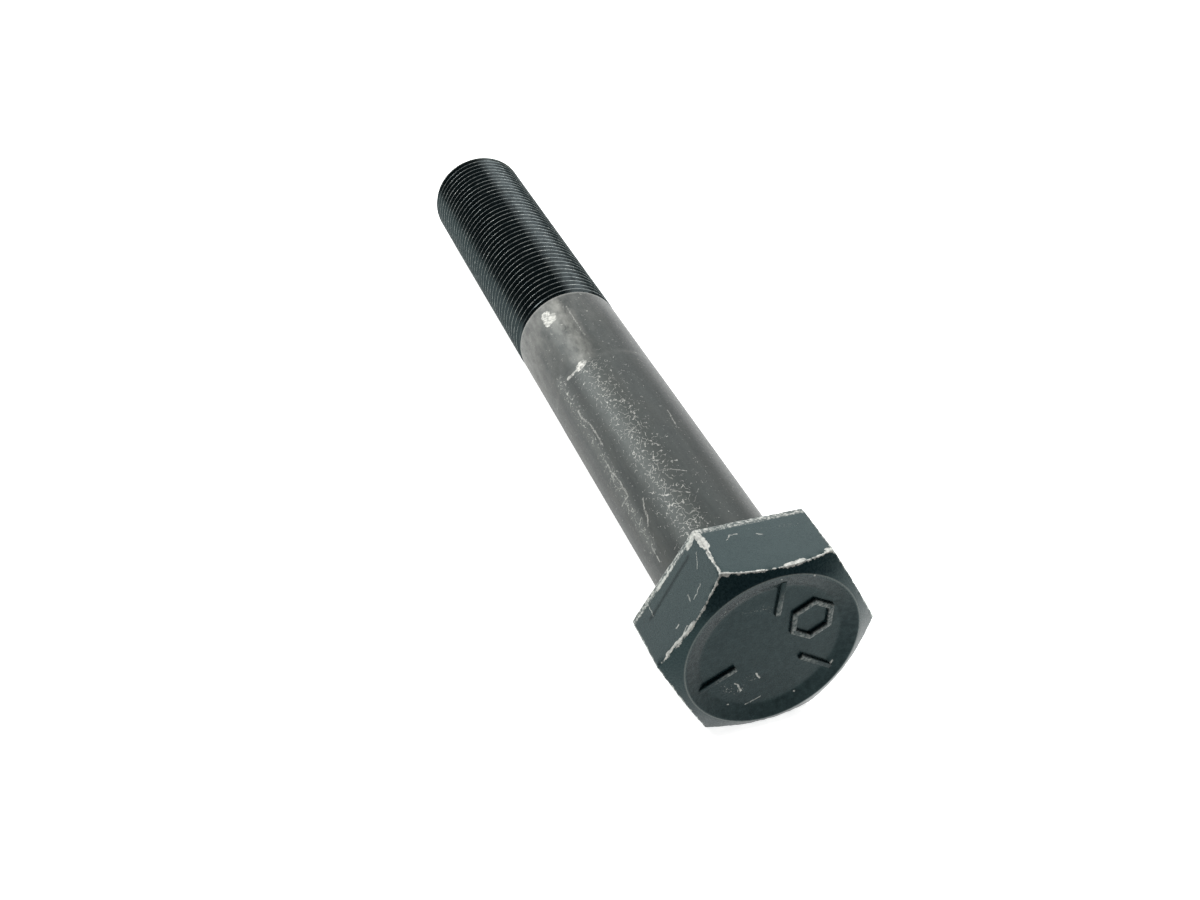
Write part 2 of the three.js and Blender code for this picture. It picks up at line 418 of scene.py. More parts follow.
def grade_bar(index):
    """A raised bar with a rounded top, pointing at the head's axis."""
    bm = bmesh.new()
    bmesh.ops.create_cube(bm, size=1.0)
    bmesh.ops.scale(bm, verts=bm.verts, vec=(BAR_LENGTH, BAR_WIDTH, MARK_RISE + MARK_SINK))
    rounded(bm, [e for e in bm.edges if all(v.co.z < 0 for v in e.verts)], BAR_EDGE_ROUND)
    middle = DISH_RADIUS - BAR_RIM_GAP - BAR_LENGTH / 2
    height = HEAD_END + DISH_DEPTH + (MARK_SINK - MARK_RISE) / 2
    bmesh.ops.translate(bm, verts=bm.verts, vec=(middle, 0, height))
    turn = Matrix.Rotation(BAR_ANGLE + index * math.tau / BAR_COUNT, 3, "Z")
    bmesh.ops.rotate(bm, verts=bm.verts, cent=(0, 0, 0), matrix=turn)
    return bm


def hex_mark():
    """A raised plain hexagonal ring, which stands where a maker would put a mark."""
    bm = bmesh.new()
    outer = HEX_MARK_ACROSS_FLATS / math.sqrt(3)
    inner = outer - HEX_MARK_LINE / math.cos(HALF_SIDE_ANGLE)
    loops = []
    for radius in (inner, outer):
        made = bmesh.ops.create_circle(bm, cap_ends=False, segments=6, radius=radius)["verts"]
        loops += {e for v in made for e in v.link_edges}
    faces = bmesh.ops.bridge_loops(bm, edges=loops)["faces"]
    drawn = bmesh.ops.extrude_face_region(bm, geom=faces)["geom"]
    raised = [g for g in drawn if isinstance(g, bmesh.types.BMVert)]
    bmesh.ops.translate(bm, verts=raised, vec=(0, 0, -MARK_RISE - MARK_SINK))
    bmesh.ops.recalc_face_normals(bm, faces=bm.faces)
    rounded(bm, [e for e in bm.edges if all(v.co.z < -0.1 for v in e.verts)], HEX_MARK_EDGE_ROUND)
    away = DISH_FLOOR_RADIUS - HEX_MARK_EDGE_GAP - outer
    height = HEAD_END + DISH_DEPTH + MARK_SINK
    centre = (away * math.cos(HEX_MARK_ANGLE), away * math.sin(HEX_MARK_ANGLE), height)
    bmesh.ops.translate(bm, verts=bm.verts, vec=centre)
    return bm


# ---------------------------------------------------------------- the whole bolt


def as_object(bm, name):
    mesh = bpy.data.meshes.new(name)
    bm.to_mesh(mesh)
    bm.free()
    piece = bpy.data.objects.new(name, mesh)
    bpy.context.scene.collection.objects.link(piece)
    return piece


def combined(piece, others, operation):
    """piece joined with, or cut to, the other objects, which are used up."""
    for other in others:
        step = piece.modifiers.new("combine", "BOOLEAN")
        step.operation = operation
        step.solver = "MANIFOLD"
        step.object = other
    bpy.context.view_layer.update()
    graph = bpy.context.evaluated_depsgraph_get()
    mesh = bpy.data.meshes.new_from_object(piece.evaluated_get(graph))
    piece.modifiers.clear()
    piece.data = mesh
    for other in others:
        bpy.data.objects.remove(other)
    return piece


def bolt_mesh():
    body = as_object(ring_body(head_stations() + shank_stations(), HEAD_STEPS), "hex_bolt_forging")
    rod = as_object(threaded_rod(), "rod")
    rod = combined(rod, [as_object(thread_blank(), "blank")], "INTERSECT")
    marks = [as_object(grade_bar(i), "bar") for i in range(BAR_COUNT)]
    marks.append(as_object(hex_mark(), "mark"))
    return combined(body, [rod, *marks], "UNION")


def local_points(mesh):
    flat = np.empty(len(mesh.vertices) * 3)
    mesh.vertices.foreach_get("co", flat)
    return flat.reshape(-1, 3)


def edge_gaps(points):
    """Distances in mm from each point of the head to its worn edges, to its back edge and to its rim."""
    radius = np.hypot(points[:, 0], points[:, 1])
    angle = np.arctan2(points[:, 1], points[:, 0])
    from_flat = angle % (2 * HALF_SIDE_ANGLE) - HALF_SIDE_ANGLE
    below_skin = APOTHEM - radius * np.cos(from_flat)
    corner = APOTHEM * math.tan(HALF_SIDE_ANGLE) - np.abs(radius * np.sin(from_flat))
    above_cone = points[:, 2] - cone_height(radius)
    arc = np.hypot(above_cone, below_skin / math.cos(math.radians(30)))
    worn = np.minimum(arc, np.hypot(corner, below_skin))
    back = np.abs(HEX_BACK - points[:, 2]) + 3 * (below_skin.clip(0.2) - 0.2)
    rim = np.hypot(radius - RIM_RADIUS, points[:, 2] - HEAD_END)
    for gap in (worn, back, rim):
        gap[points[:, 2] > 0.05] = FAR_GAP
    return worn.clip(0, FAR_GAP), back.clip(0, FAR_GAP), rim.clip(0, FAR_GAP)


def nick_edges(mesh):
    """Small dents along the head's worn edges, about 1 mm and 0.4 mm long."""
    worn, back, rim = edge_gaps(local_points(mesh))
    gap = np.minimum(worn, back + 0.1)
    for index in np.flatnonzero(gap < NICK_REACH):
        vertex = mesh.vertices[index]
        wide = noise.noise(vertex.co * 0.9 + NICK_SEED)
        narrow = noise.noise(vertex.co * 2.7 - NICK_SEED)
        dent = max(0.0, 0.6 * wide + 0.4 * narrow + 0.12)
        near = 1 - gap[index] / NICK_REACH
        from_middle = (vertex.co.z - HEAD_END / 2) * 0.6
        inward = Vector((vertex.co.x, vertex.co.y, from_middle)).normalized()
        vertex.co -= inward * NICK_DEPTH * near * dent
    mesh.update()


def dish_levels(points):
    """How far each point stands out of the dish in mm, and how much painted shade darkens the dish there.

    The sloping ring gets the darkest painted shade."""
    radius = np.hypot(points[:, 0], points[:, 1])
    share = ((radius - DISH_FLOOR_RADIUS) / DISH_SLOPE_WIDTH).clip(0, 1)
    surface = HEAD_END + DISH_DEPTH * (1 - share)
    inside = (radius < DISH_RADIUS - 0.05) & (points[:, 2] < HEAD_END / 2)
    raised = np.where(inside, surface - points[:, 2], 0).clip(0, 1)
    # Painted shade: some on the dish's floor, the most on its sloping ring
    dark = np.where(radius > DISH_FLOOR_RADIUS, 1.0, 0.65) * inside
    return raised, dark


def keep_gaps(mesh):
    """Writes the distances and levels to the mesh, for the materials."""
    points = local_points(mesh)
    names = ("worn_gap", "back_gap", "rim_gap", "raised", "dish_painted_shade")
    for name, values in zip(names, edge_gaps(points) + dish_levels(points)):
        attribute = mesh.attributes.new(name, "FLOAT", "POINT")
        attribute.data.foreach_set("value", values.astype(np.float32))


def zone(face):
    """0 for the head, 1 for the shank, 2 for the thread."""
    height = face.center.z
    if height < FILLET_RADIUS * 0.3:
        return 0
    return 1 if height < THREAD_START - 0.02 else 2


# ---------------------------------------------------------------- nodes and patterns


def plug(tree, socket, value):
    """Links a node's output to a socket, or sets a plain value on it."""
    if isinstance(value, bpy.types.NodeSocket):
        tree.links.new(value, socket)
    else:
        socket.default_value = value


def node(tree, kind, *inputs, named=None, out=None, **settings):
    """Adds a node with its settings and inputs, and gives one of its outputs, the first that it shows.

    Inputs are values or other nodes' outputs, in the order of the sockets that the node shows, or named."""
    item = tree.nodes.new("ShaderNode" + kind)
    for name, value in settings.items():
        setattr(item, name, value)
    shown = [socket for socket in item.inputs if socket.enabled]
    for socket, value in zip(shown, inputs):
        plug(tree, socket, value)
    for name, value in (named or {}).items():
        plug(tree, item.inputs[name], value)
    return item.outputs[out] if out else next(s for s in item.outputs if s.enabled)


def feed(tree, item, **sockets):
    """Sets or links the named inputs of a node that is there already."""
    for name, value in sockets.items():
        plug(tree, item.inputs[name.replace("_", " ")], value)


def new_material(name):
    material = bpy.data.materials.new(name)
    material.use_nodes = True
    tree = material.node_tree
    return material, tree, tree.nodes["Principled BSDF"]


def place_mm(tree):
    """A point's place on the bolt, in mm in the frame."""
    place = node(tree, "TexCoord", out="Object")
    return node(tree, "VectorMath", place, (1000, 1000, 1000), operation="MULTIPLY")


def grain(tree, place, size, detail=3.0, seed=0.0, roughness=0.55):
    """Noise from 0 to 1 whose features are about size mm across, or three sizes along X, Y and Z."""
    sizes = size if isinstance(size, tuple) else (size, size, size)
    scaled = node(tree, "VectorMath", place, [1 / s for s in sizes], operation="MULTIPLY")
    return node(tree, "TexNoise", scaled, seed, 1.0, detail, roughness, noise_dimensions="4D")


def shaken(tree, place, size, amount, seed=0.0):
    """place moved up to amount mm by noise, so that straight strokes come out ragged."""
    scaled = node(tree, "VectorMath", place, [1 / size] * 3, operation="MULTIPLY")
    noisy = node(tree, "TexNoise", scaled, seed, 1.0, 3.0, noise_dimensions="4D", out="Color")
    centred = node(tree, "VectorMath", noisy, (0.5, 0.5, 0.5), operation="SUBTRACT")
    moved = node(tree, "VectorMath", centred, [2 * amount] * 3, operation="MULTIPLY")
    return node(tree, "VectorMath", place, moved, operation="ADD")


def ragged_edge(tree, mask, place, size, seed):
    """A soft mask made crisp, with an outline that crumbles in pieces of size mm."""
    crumble = grain(tree, place, size, detail=5.0, seed=seed, roughness=0.7)
    centred = node(tree, "Math", crumble, 0.5, operation="SUBTRACT")
    swing = node(tree, "Math", centred, 1.9, operation="MULTIPLY")
    lifted = node(tree, "Math", mask, swing, operation="ADD")
    return node(tree, "MapRange", lifted, 0.5, 0.68)


def stroke_group():
    """Node group: 1 inside a straight stroke of a given half width, fading to 0 over the soft distance."""
    group = bpy.data.node_groups.new("stroke", "ShaderNodeTree")
    kinds = {"Place": "Vector", "Start": "Vector", "Along": "Vector", "Half": "Float", "Soft": "Float"}
    for name, kind in kinds.items():
        group.interface.new_socket(name, in_out="INPUT", socket_type="NodeSocket" + kind)
    group.interface.new_socket("Mask", in_out="OUTPUT", socket_type="NodeSocketFloat")
    place, start, along, half, soft = group.nodes.new("NodeGroupInput").outputs[:5]
    offset = node(group, "VectorMath", place, start, operation="SUBTRACT")
    reach = node(group, "VectorMath", offset, along, operation="DOT_PRODUCT")
    length = node(group, "VectorMath", along, along, operation="DOT_PRODUCT")
    share = node(group, "Math", reach, length, operation="DIVIDE", use_clamp=True)
    nearest = node(group, "VectorMath", along, share, operation="SCALE")
    apart = node(group, "VectorMath", offset, nearest, operation="SUBTRACT")
    away = node(group, "VectorMath", apart, operation="LENGTH")
    outer = node(group, "Math", half, soft, operation="ADD")
    mask = node(group, "MapRange", away, half, outer, 1.0, 0.0)
    group.links.new(mask, group.nodes.new("NodeGroupOutput").inputs["Mask"])
    return group


STROKE = stroke_group()


def strokes(tree, place, paths):
    """The largest of the masks of some paths. A path is (half width, soft width, points in mm)."""
    total = 0.0
    for half, soft, points in paths:
        for start, end in zip(points, points[1:]):
            along = Vector(end) - Vector(start)
            mask = node(tree, "Group", place, start, along, half, soft, node_tree=STROKE)
            total = node(tree, "Math", mask, total, operation="MAXIMUM")
    return total


# ---------------------------------------------------------------- placed wear, painted shade and painted highlights

# Chips, scratches and painted shade on the head, in mm in the frame: half width, soft width, points.
HEAD_CHIPS = (
    (0.55, 0.35, ((-9.3, -74.6, 33.0), (-9.1, -77.2, 33.0))),
    (0.08, 0.2, ((-9.0, -77.2, 33.0), (-9.4, -81.0, 33.0), (-9.5, -84.0, 33.0))),
    (0.25, 0.4, ((0.8, -85.4, 33.0), (3.9, -85.0, 33.0))),
    (0.3, 0.4, ((8.6, -84.0, 33.0), (9.9, -83.8, 32.6))),
    (0.3, 0.3, ((-9.6, -84.1, 32.9), (-8.6, -84.4, 32.9))),
    (0.16, 0.3, ((-13.9, -85.3, 25.4), (-15.4, -85.1, 22.8), (-17.6, -84.5, 19.0))),
    (0.3, 0.3, ((9.9, -76.0, 32.8), (10.0, -78.5, 32.8))),
    (0.45, 0.4, ((-9.6, -73.6, 32.8), (-10.6, -74.4, 31.0))),
    (0.25, 0.3, ((-13.0, -73.9, 26.9), (-15.2, -74.0, 23.2))),
)
HEAD_SCRATCHES = (
    (0.03, 0.14, ((-5.4, -77.0, 33.0), (-4.4, -76.0, 33.0), (-3.3, -76.1, 33.0))),
    (0.05, 0.12, ((-0.3, -77.0, 33.0), (0.5, -77.3, 33.0))),
    (0.07, 0.14, ((-13.1, -80.7, 26.9), (-13.2, -81.9, 26.7))),
    (0.03, 0.12, ((-12.8, -82.4, 27.4), (-12.0, -82.0, 28.6), (-11.6, -81.6, 29.4))),
    (0.02, 0.1, ((-10.3, -76.7, 31.6), (-11.1, -79.2, 30.2))),
    (0.07, 0.12, ((-15.6, -82.9, 22.4), (-15.2, -82.8, 23.2))),
    (0.06, 0.14, ((-15.6, -85.1, 22.5), (-14.6, -84.5, 24.2))),
    (0.02, 0.1, ((-16.8, -74.1, 20.4), (-16.9, -76.7, 20.2))),
    (0.1, 0.1, ((-5.6, -85.3, 9.9), (-5.0, -85.3, 9.3), (-4.5, -85.3, 7.9))),
    (0.1, 0.12, ((-2.0, -85.3, 11.0), (-1.3, -85.3, 9.9))),
    (0.03, 0.1, ((-3.4, -85.35, 4.6), (-1.9, -85.3, 5.0), (-0.5, -85.3, 5.7))),
    (0.04, 0.15, ((10.0, -85.4, 9.6), (11.2, -85.6, 9.6), (11.7, -85.65, 10.3))),
    (0.12, 0.08, ((-6.6, -85.45, 5.7), (-6.5, -85.45, 5.7))),
    (0.11, 0.08, ((5.3, -85.45, 5.0), (5.4, -85.45, 5.1))),
    (0.09, 0.08, ((5.4, -86.3, 30.5), (5.5, -86.3, 30.5))),
    (0.08, 0.08, ((-0.2, -86.2, 31.1), (-0.1, -86.2, 31.1))),
)
HEAD_FAINT = (
    (0.3, 0.8, ((-9.4, -85.3, 25.6), (-8.0, -85.3, 27.0), (-6.5, -85.3, 27.8))),
    (0.15, 0.5, ((-5.4, -85.3, 24.6), (-2.0, -85.3, 24.9), (-0.2, -85.3, 24.0))),
    (0.3, 0.8, ((-7.5, -85.3, 9.6), (-5.6, -85.3, 8.0), (-3.9, -85.3, 8.3))),
    (0.2, 0.7, ((-3.4, -85.3, 10.2), (-2.0, -85.3, 10.2))),
    (0.06, 0.3, ((-1.5, -75.3, 33.0), (2.5, -76.1, 33.0), (6.9, -76.7, 33.0))),
)
# Painted shade: a dark line along a crease on one flat, which the mesh doesn't have
HEAD_SHADES = (
    (0.1, 0.5, ((-11.2, -75.8, 30.1), (-17.2, -76.6, 19.7))),
)
# Worn patches, scratches and a painted highlight stripe on the shank, likewise.
SHANK_PATCHES = (
    (0.75, 0.7, ((-6.8, 10.6, 25.2), (-6.9, 7.6, 25.1))),
    (0.4, 0.6, ((-6.0, 7.6, 25.8), (-5.7, 9.0, 25.9))),
    (0.7, 0.6, ((-5.9, -10.2, 25.8), (-6.6, -10.7, 25.3))),
    (0.15, 0.5, ((-7.4, -10.8, 24.7), (-8.9, -10.6, 23.0))),
)
# Rubbed areas on the highlight stripe: partly wear, partly painted highlight
RUBBED_AND_HIGHLIGHT_AREAS = (
    (0.6, 2.6, ((-4.6, 12.5, 26.5), (-4.6, 4.0, 26.5), (-4.9, -8.0, 26.3))),
)
SHANK_SCRATCHES = (
    (0.05, 0.14, ((-2.6, 9.6, 27.2), (-2.7, -2.5, 27.2))),
    (0.12, 0.25, ((-9.9, -19.5, 21.4), (-9.9, -21.9, 21.3))),
    (0.06, 0.16, ((-9.9, -21.9, 21.3), (-9.5, -25.3, 22.0), (-9.4, -29.6, 22.1), (-9.6, -32.6, 22.0))),
    (0.05, 0.16, ((-10.1, -35.4, 20.8), (-10.2, -38.3, 20.6), (-10.0, -41.8, 21.1), (-10.0, -44.5, 21.0))),
    (0.08, 0.18, ((-10.0, -44.5, 21.0), (-10.0, -47.0, 21.0), (-10.8, -46.3, 18.5))),
    (0.14, 0.2, ((-10.3, -39.7, 20.3), (-10.4, -40.9, 20.1))),
    (0.08, 0.2, ((-8.9, -51.0, 23.0), (-9.3, -52.7, 22.4), (-9.4, -55.0, 22.1), (-9.9, -56.3, 21.3))),
    (0.03, 0.15, ((-10.6, -60.1, 19.6), (-10.6, -63.8, 19.5))),
    (0.05, 0.1, ((-3.6, -49.0, 26.9), (-1.2, -51.2, 27.4))),
    (0.05, 0.1, ((-5.0, -54.4, 26.3), (-2.8, -56.9, 27.1))),
    (0.12, 0.1, ((-4.9, -45.1, 26.4), (-4.2, -45.8, 26.7))),
    (0.08, 0.08, ((-1.9, -47.5, 27.3), (-1.4, -47.7, 27.4))),
    (0.1, 0.12, ((-3.2, -41.2, 27.0), (-2.5, -42.3, 27.2))),
    (0.05, 0.12, ((-5.5, -35.3, 26.0), (-3.3, -34.5, 27.0))),
    (0.03, 0.14, ((3.1, -32.1, 27.0), (2.6, -37.3, 27.2))),
    (0.05, 0.12, ((-4.6, -61.3, 26.5), (-3.7, -61.2, 26.9))),
)
# Scuffed bands: where the hairline scuffs are thickest, and also a painted highlight stripe in the coat
SCUFFED_AND_HIGHLIGHT_BANDS = (
    (0.9, 3.8, ((-4.8, -13.0, 26.3), (-5.2, -43.0, 26.1), (-5.6, -66.0, 26.0))),
    (0.2, 1.6, ((-9.9, -8.4, 21.3), (-10.1, -32.4, 20.8), (-10.5, -60.0, 19.6))),
)
# A painted sheen: a paler, rougher grey band along one side of the thread
PAINTED_SHEEN_BAND = (
    (1.3, 2.2, ((2.4, 12.0, 27.3), (2.4, 83.0, 27.3))),
)


# ---------------------------------------------------------------- finishes

STEEL = srgb(0xC6C5BF)
# What each oxide does to the light that it reflects
OXIDE_SHEEN = srgb(0xCCF5F5)
SHANK_SHEEN = srgb(0xF0FFFC)
THREAD_SHEEN = srgb(0xD4F2F5)


def edge_wear(tree, place, rubbed):
    """Bright steel along the head's corners and chamfer arcs, in a ragged line up to about 0.5 mm wide."""
    uneven = grain(tree, place, 1.6, detail=5.0, seed=3.0, roughness=0.65)
    width = node(tree, "MapRange", uneven, 0.36, 0.66, 0.0, 0.38)
    gap = node(tree, "Attribute", attribute_name="worn_gap", out="Fac")
    past = node(tree, "Math", gap, width, operation="SUBTRACT")
    near = node(tree, "MapRange", past, -0.22, 0.26, 1.0, 0.0)
    near = ragged_edge(tree, near, place, 0.5, 9.0)
    return node(tree, "Math", near, rubbed, operation="MULTIPLY")


def trim_wear(tree, place):
    """The trimming die's band at the back of the head: crumbs of bright steel, with a bright outline."""
    gap = node(tree, "Attribute", attribute_name="back_gap", out="Fac")
    band = node(tree, "MapRange", gap, 1.1, 1.5, 1.0, 0.0)
    crumbs = grain(tree, place, 0.55, detail=3.0, seed=4.0, roughness=0.7)
    crumbs = node(tree, "MapRange", crumbs, 0.48, 0.6, 0.12, 0.9)
    crumbs = node(tree, "Math", band, crumbs, operation="MULTIPLY")
    edge = node(tree, "MapRange", gap, 0.1, 0.28, 0.6, 0.0)
    return node(tree, "Math", crumbs, edge, operation="MAXIMUM")


def mark_wear(tree, place):
    """Grit-sized bright specks on top of the raised marks."""
    raised = node(tree, "Attribute", attribute_name="raised", out="Fac")
    top = node(tree, "MapRange", raised, 0.25, 0.55)
    gritty = grain(tree, place, 0.5, detail=4.0, seed=11.0, roughness=0.7)
    gritty = node(tree, "MapRange", gritty, 0.42, 0.66, 0.03, 0.4)
    return node(tree, "Math", top, gritty, operation="MULTIPLY")


def placed_wear(tree, place, ragged, rubbed):
    """The head's chips, scratches and dusty scuffs."""
    chips = ragged_edge(tree, strokes(tree, ragged, HEAD_CHIPS), place, 0.6, 10.0)
    chips = node(tree, "Math", chips, rubbed, operation="MULTIPLY")
    scratches = strokes(tree, shaken(tree, place, 0.8, 0.35), HEAD_SCRATCHES)
    scratches = node(tree, "Math", scratches, rubbed, operation="MULTIPLY")
    scratches = node(tree, "Math", scratches, 0.75, operation="MULTIPLY")
    dust = grain(tree, place, 0.3, detail=1.0, seed=7.0)
    dust = node(tree, "MapRange", dust, 0.6, 0.7, 0.0, 0.35)
    faint = node(tree, "Math", strokes(tree, ragged, HEAD_FAINT), dust, operation="MULTIPLY")
    return chips, scratches, faint


def head_shade(tree, place, ragged):
    """Painted shade: how dark the dish and the crease on one flat are painted, with paler scrapes round the
    sloping ring.
    """
    scraped = grain(tree, place, (0.9, 2.0, 0.9), detail=4.0, seed=12.0)
    scraped = node(tree, "MapRange", scraped, 0.4, 0.65, 1.0, 0.45)
    dish = node(tree, "Attribute", attribute_name="dish_painted_shade", out="Fac")
    shade = node(tree, "Math", dish, scraped, operation="MULTIPLY")
    return node(tree, "Math", shade, strokes(tree, ragged, HEAD_SHADES), operation="MAXIMUM")


def coated_head():
    """Black oxide on a forged head: satin blue-black, rubbed to bright steel along its edges.

    The forging leaves soft waves about 2 mm long. The coat's own grain is drawn 0.45 mm wide, coarser than
    the real one, so that it shows."""
    material, tree, shader = new_material("black_oxide_forged_steel")
    place = place_mm(tree)
    ragged = shaken(tree, place, 0.9, 0.35)
    rubbed = grain(tree, place, 0.7, detail=5.0, seed=8.0, roughness=0.7)
    rubbed = node(tree, "MapRange", rubbed, 0.35, 0.6, 0.35, 1.0)

    near_edge = edge_wear(tree, place, rubbed)
    rim_gap = node(tree, "Attribute", attribute_name="rim_gap", out="Fac")
    bare = node(tree, "MapRange", rim_gap, 0.06, 0.2, 0.16, 0.0)
    worn = (near_edge, trim_wear(tree, place), mark_wear(tree, place))
    for mask in worn + placed_wear(tree, place, ragged, rubbed):
        bare = node(tree, "Math", bare, mask, operation="MAXIMUM")

    cloud = node(tree, "MapRange", grain(tree, place, 5.0, seed=1.0), 0.35, 0.7)
    coat = node(tree, "Mix", cloud, srgb(0x0E1D21), srgb(0x182628), data_type="RGBA")
    # Painted shade: the coat is darkened in the dish and along the crease, and the same mask lowers the
    # specular level there
    shade = head_shade(tree, place, ragged)
    half_shade = node(tree, "Math", shade, 0.5, operation="MULTIPLY")
    coat = node(tree, "Mix", half_shade, coat, srgb(0x060E12), data_type="RGBA")

    fine = grain(tree, place, 0.45, detail=4.0, seed=2.0)
    rough = node(tree, "MapRange", bare, 0.0, 1.0, 0.26, 0.5)
    uneven = node(tree, "MapRange", fine, 0.3, 0.7, -0.05, 0.08)
    waves = node(tree, "Math", grain(tree, place, 1.8, seed=5.0), 1.5, operation="MULTIPLY")
    height = node(tree, "Math", fine, waves, operation="ADD")
    height = node(tree, "Math", height, near_edge, operation="SUBTRACT")
    feed(
        tree,
        shader,
        Base_Color=node(tree, "Mix", bare, coat, STEEL, data_type="RGBA"),
        Metallic=node(tree, "Math", bare, 0.6, operation="MULTIPLY"),
        Roughness=node(tree, "Math", rough, uneven, operation="ADD"),
        Specular_Tint=OXIDE_SHEEN,
        Specular_IOR_Level=node(tree, "MapRange", shade, 0.0, 1.0, 0.32, 0.16),
        Normal=node(tree, "Bump", named={"Height": height, "Distance": 0.007 * MM}),
    )
    return material


def shank_coat(tree, place, ragged, along, cloud, bands, mottle):
    """The shank's oxide: streaks drawn out along it, paler towards the thread on the side rubbed most, with
    painted shade towards +X and a painted highlight stripe along the rubbed areas and scuffed bands.
    """
    streaks = node(tree, "MapRange", cloud, 0.38, 0.62)
    coat = node(tree, "Mix", streaks, srgb(0x0D1313), srgb(0x292E2C), data_type="RGBA")
    brown = node(tree, "MapRange", grain(tree, place, (4.0, 9.0, 4.0), seed=3.0), 0.45, 0.75, 0.0, 0.45)
    coat = node(tree, "Mix", brown, coat, srgb(0x3A3831), data_type="RGBA")
    across = node(tree, "SeparateXYZ", place, out="X")
    side = node(tree, "MapRange", across, -9.0, 5.0, 1.0, 0.1)
    # Painted shade: the coat is painted darker towards +X, across from the rubbed side
    painted_shade_side = node(tree, "Math", 0.75, side, operation="SUBTRACT")
    coat = node(tree, "Mix", painted_shade_side, coat, srgb(0x101616), data_type="RGBA")
    pale = node(tree, "MapRange", along, -10.0, 12.0, 0.04, 0.8)
    rubbed = strokes(tree, ragged, RUBBED_AND_HIGHLIGHT_AREAS)
    # The rubbed areas and scuffed bands lighten the coat partly as wear and partly as a painted highlight
    # stripe
    layers = ((pale, side, mottle, 0x7E7E79), (rubbed, mottle, 0.85, 0x9A9A94), (bands, 0.5, 0x5A5E5B))
    for mask, *factors, colour in layers:
        for factor in factors:
            mask = node(tree, "Math", mask, factor, operation="MULTIPLY")
        coat = node(tree, "Mix", mask, coat, srgb(colour), data_type="RGBA")
    return coat


def hair_scuffs(tree, place, bands):
    """Short curly hairlines of bright steel, thickest in the scuffed bands."""
    winding = grain(tree, place, (0.9, 1.3, 0.9), detail=1.5, seed=5.0)
    centred = node(tree, "Math", winding, 0.5, operation="SUBTRACT")
    off_line = node(tree, "Math", centred, operation="ABSOLUTE")
    hair = node(tree, "MapRange", off_line, 0.004, 0.022, 0.75, 0.0)
    broken = grain(tree, place, 0.8, detail=3.0, seed=7.0, roughness=0.7)
    more = node(tree, "Math", bands, 0.17, operation="MULTIPLY")
    broken = node(tree, "Math", broken, more, operation="ADD")
    broken = node(tree, "MapRange", broken, 0.57, 0.69)
    return node(tree, "Math", hair, broken, operation="MULTIPLY")


def shank_marks(tree, place, ragged):
    """The shank's bare patches and scratches, flecked with what is left of the coat."""
    patches = ragged_edge(tree, strokes(tree, ragged, SHANK_PATCHES), place, 0.6, 8.0)
    scratches = strokes(tree, shaken(tree, place, 0.6, 0.4, seed=2.0), SHANK_SCRATCHES)
    scratches = node(tree, "Math", scratches, 0.65, operation="MULTIPLY")
    marks = node(tree, "Math", patches, scratches, operation="MAXIMUM")
    flecked = grain(tree, place, 0.6, detail=5.0, seed=9.0, roughness=0.75)
    flecked = node(tree, "MapRange", flecked, 0.4, 0.6, 0.2, 1.0)
    return node(tree, "Math", marks, flecked, operation="MULTIPLY")


def step_line(tree, along, cloud, mottle):
    """A faint uneven pale ring where the shank gets thinner, some 10 mm short of the frame's middle."""
    uneven = node(tree, "MapRange", cloud, 0.0, 1.0, 9.6, 11.0)
    off_step = node(tree, "Math", along, uneven, operation="ADD")
    off_step = node(tree, "Math", off_step, operation="ABSOLUTE")
    step = node(tree, "MapRange", off_step, 0.0, 1.2, 0.09, 0.0)
    return node(tree, "Math", step, mottle, operation="MULTIPLY")


def worn_shank():
    """Black oxide worn thin on a drawn shank: satin brown-grey, with scuffs, scratches and bare patches.

    Drawing leaves fine rings 0.5 mm apart. The grain between them is drawn 0.35 mm wide so that it shows."""
    material, tree, shader = new_material("worn_black_oxide_drawn_steel")
    place = place_mm(tree)
    along = node(tree, "SeparateXYZ", place, out="Y")
    ragged = shaken(tree, place, 0.8, 0.4)
    cloud = grain(tree, place, (1.6, 14.0, 1.6), detail=5.0, seed=1.0, roughness=0.6)
    mottle = grain(tree, place, (1.8, 4.5, 1.8), detail=5.0, seed=6.0, roughness=0.6)
    mottle = node(tree, "MapRange", mottle, 0.3, 0.68)
    # These bands thicken the scuffs and also paint a highlight stripe into the coat
    bands = strokes(tree, place, SCUFFED_AND_HIGHLIGHT_BANDS)
    coat = shank_coat(tree, place, ragged, along, cloud, bands, mottle)

    bare = hair_scuffs(tree, place, bands)
    lip = node(tree, "MapRange", along, 13.5, 14.1, 0.0, 0.3)
    for mask in (shank_marks(tree, place, ragged), step_line(tree, along, cloud, mottle), lip):
        bare = node(tree, "Math", bare, mask, operation="MAXIMUM")

    fine = grain(tree, place, 0.35, detail=4.0, seed=4.0)
    rough = node(tree, "MapRange", bare, 0.0, 1.0, 0.4, 0.5)
    uneven = node(tree, "MapRange", fine, 0.3, 0.7, -0.06, 0.1)
    rings = grain(tree, place, (7.0, 0.5, 7.0), detail=3.0, seed=2.0)
    rings = node(tree, "Math", rings, 0.8, operation="MULTIPLY")
    height = node(tree, "Math", rings, fine, operation="ADD")
    feed(
        tree,
        shader,
        Base_Color=node(tree, "Mix", bare, coat, STEEL, data_type="RGBA"),
        Metallic=node(tree, "Math", bare, 0.6, operation="MULTIPLY"),
        Roughness=node(tree, "Math", rough, uneven, operation="ADD"),
        Specular_Tint=SHANK_SHEEN,
        Specular_IOR_Level=0.32,
        Normal=node(tree, "Bump", named={"Height": height, "Distance": 0.006 * MM}),
    )
    return material


